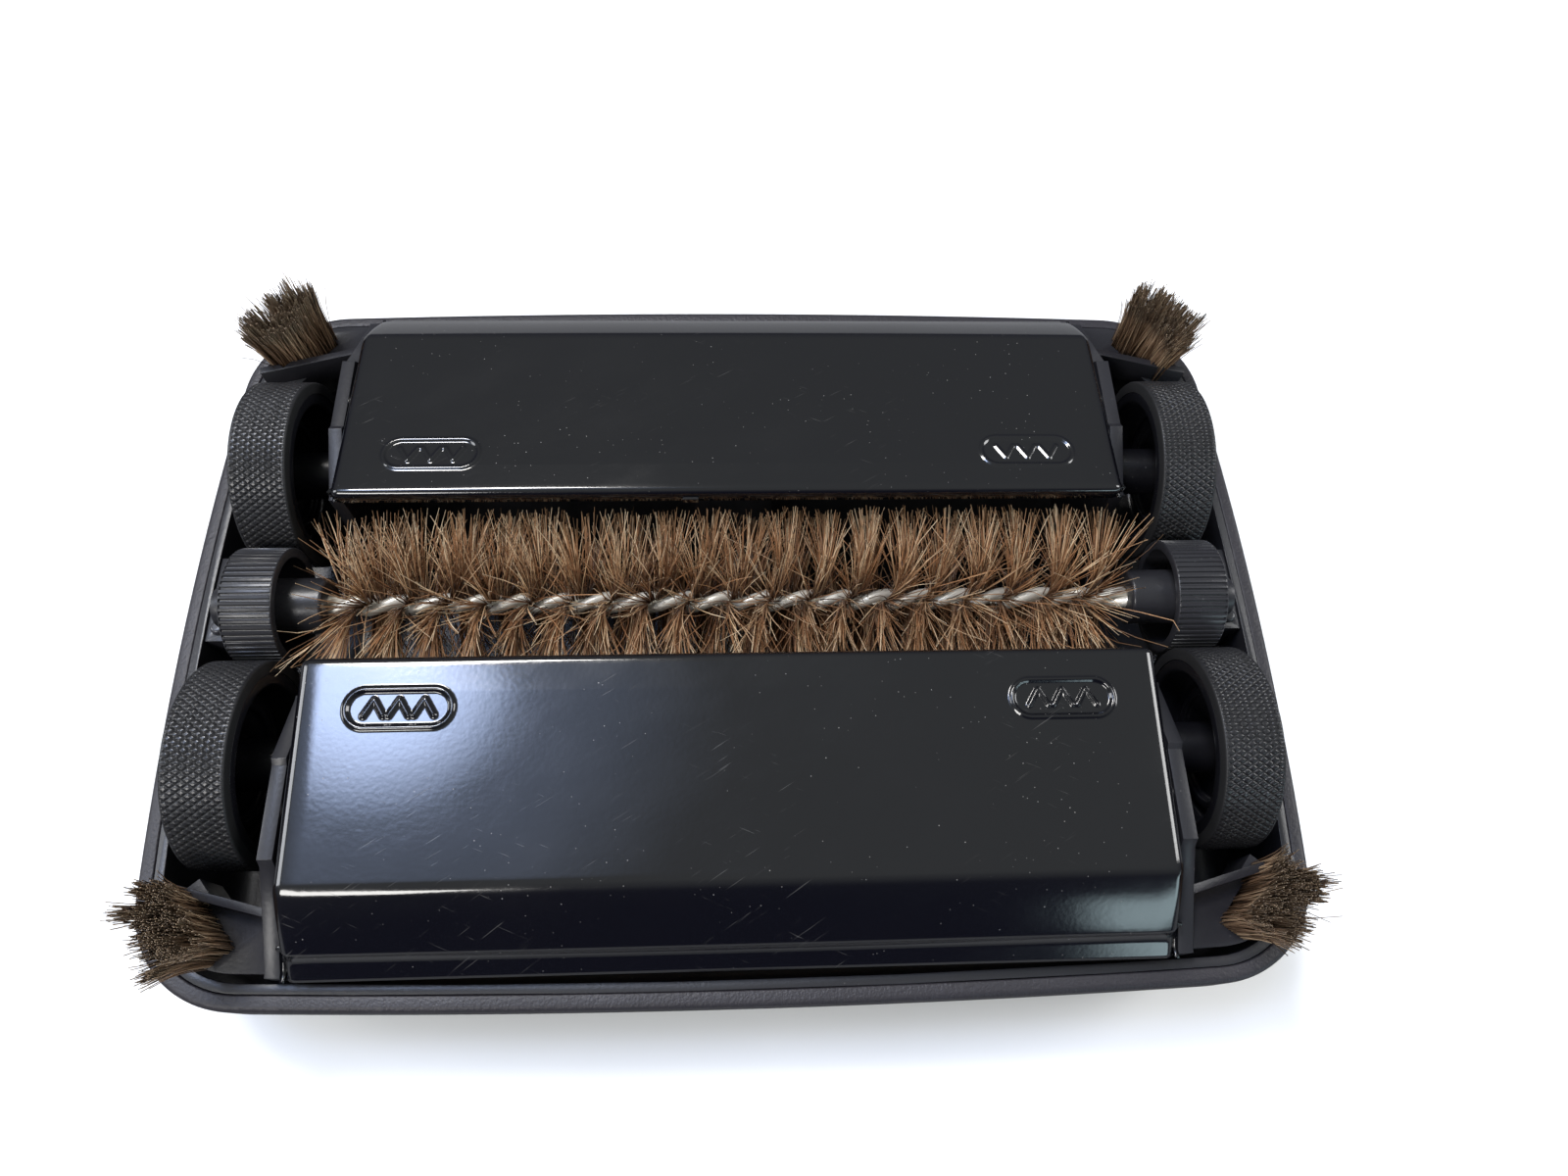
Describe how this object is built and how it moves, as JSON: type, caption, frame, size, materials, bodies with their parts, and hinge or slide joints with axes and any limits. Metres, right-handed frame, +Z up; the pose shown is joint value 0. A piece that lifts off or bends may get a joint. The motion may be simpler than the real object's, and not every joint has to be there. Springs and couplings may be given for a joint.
{
  "type": "carpet sweeper head",
  "caption": "Manual carpet sweeper head lying on its back: spinning brush roll, knurled drive wheels, tipping dust pans, corner tufts.",
  "frame": {"origin": "centre of the top face of the case, which is the face it rests on as it lies on its back", "axes": "+X along the length of the sweeper, +Y from the front pan to the rear pan, +Z up, towards the brush and wheels"},
  "size_m": [0.29, 0.2, 0.066],
  "materials": {
    "case_plastic": "fine satin grain, charcoal",
    "bumper_vinyl": "fine matte grain, charcoal",
    "frame_plastic": "satin moulded black with rubbed edges",
    "socket_plastic": "satin moulded black",
    "roller_plastic": "satin black, ribbed",
    "hub_plastic": "semi-gloss moulded black",
    "tread_rubber": "knurled charcoal",
    "pan_enamel": "gloss black enamel on pressed sheet",
    "natural_hair": "brown natural hair",
    "brush_wire": "galvanised twisted wire",
    "bright_steel": "turned steel",
    "spring_steel": "drawn spring wire",
    "screw_steel": "zinc plated"
  },
  "bodies": {
    "housing": {"housing_shell": "case_plastic", "bumper_band": "bumper_vinyl", "handle_pin": "bright_steel", "left_end_plate": "frame_plastic", "right_end_plate": "frame_plastic", "left_bearing_bracket": "frame_plastic", "right_bearing_bracket": "frame_plastic", "left_bearing_screw": "screw_steel", "right_bearing_screw": "screw_steel", "axle_clips": "spring_steel", "end_plate_screws": "screw_steel", "front_left_tuft": "natural_hair", "front_left_axle": "bright_steel", "front_left_pan_pin": "bright_steel", "front_left_pan_spring": "spring_steel", "front_right_tuft": "natural_hair", "front_right_axle": "bright_steel", "front_right_pan_pin": "bright_steel", "front_right_pan_spring": "spring_steel", "rear_left_tuft": "natural_hair", "rear_left_axle": "bright_steel", "rear_left_pan_pin": "bright_steel", "rear_left_pan_spring": "spring_steel", "rear_right_tuft": "natural_hair", "rear_right_axle": "bright_steel", "rear_right_pan_pin": "bright_steel", "rear_right_pan_spring": "spring_steel"},
    "brush": {"brush_core": "brush_wire", "brush_bristles": "natural_hair", "left_roller": "roller_plastic", "left_brush_pin": "bright_steel", "right_roller": "roller_plastic", "right_brush_pin": "bright_steel"},
    "front_pan": {"front_dust_pan": "pan_enamel"},
    "rear_pan": {"rear_dust_pan": "pan_enamel"},
    "handle": {"handle_socket": "socket_plastic"},
    "front_left_wheel": {"front_left_wheel_hub": "hub_plastic", "front_left_wheel_tread": "tread_rubber"},
    "front_right_wheel": {"front_right_wheel_hub": "hub_plastic", "front_right_wheel_tread": "tread_rubber"},
    "rear_left_wheel": {"rear_left_wheel_hub": "hub_plastic", "rear_left_wheel_tread": "tread_rubber"},
    "rear_right_wheel": {"rear_right_wheel_hub": "hub_plastic", "rear_right_wheel_tread": "tread_rubber"}
  },
  "joints": [
    {"name": "brush_spin", "type": "hinge", "parent": "housing", "child": "brush", "pos_m": [0, 0, 0.0437], "axis": [1, 0, 0], "continuous": true},
    {"name": "front_left_wheel_spin", "type": "hinge", "parent": "housing", "child": "front_left_wheel", "pos_m": [0, -0.04097, 0.0404], "axis": [1, 0, 0], "continuous": true},
    {"name": "front_right_wheel_spin", "type": "hinge", "parent": "housing", "child": "front_right_wheel", "pos_m": [0, -0.04097, 0.0404], "axis": [1, 0, 0], "continuous": true},
    {"name": "rear_left_wheel_spin", "type": "hinge", "parent": "housing", "child": "rear_left_wheel", "pos_m": [0, 0.04097, 0.0404], "axis": [1, 0, 0], "continuous": true},
    {"name": "rear_right_wheel_spin", "type": "hinge", "parent": "housing", "child": "rear_right_wheel", "pos_m": [0, 0.04097, 0.0404], "axis": [1, 0, 0], "continuous": true},
    {"name": "front_pan_tilt", "type": "hinge", "parent": "housing", "child": "front_pan", "pos_m": [0, -0.056, 0.0545], "axis": [-1, 0, 0], "range_deg": [0, 60], "stiffness_Nm_per_rad": 0.08, "springref_deg": -20.05, "deforming": ["front_left_pan_spring", "front_right_pan_spring"]},
    {"name": "rear_pan_tilt", "type": "hinge", "parent": "housing", "child": "rear_pan", "pos_m": [0, 0.056, 0.0545], "axis": [1, 0, 0], "range_deg": [0, 60], "stiffness_Nm_per_rad": 0.08, "springref_deg": -20.05, "deforming": ["rear_left_pan_spring", "rear_right_pan_spring"]},
    {"name": "handle_fold", "type": "hinge", "parent": "housing", "child": "handle", "pos_m": [0, -0.002, 0.0076], "axis": [-1, 0, 0], "range_deg": [0, 110]}
  ],
  "couplings": [
    {"joint": "front_left_wheel_spin", "follows": "brush_spin", "ratio": -0.59375},
    {"joint": "front_right_wheel_spin", "follows": "brush_spin", "ratio": -0.59375},
    {"joint": "rear_left_wheel_spin", "follows": "brush_spin", "ratio": -0.59375},
    {"joint": "rear_right_wheel_spin", "follows": "brush_spin", "ratio": -0.59375}
  ]
}
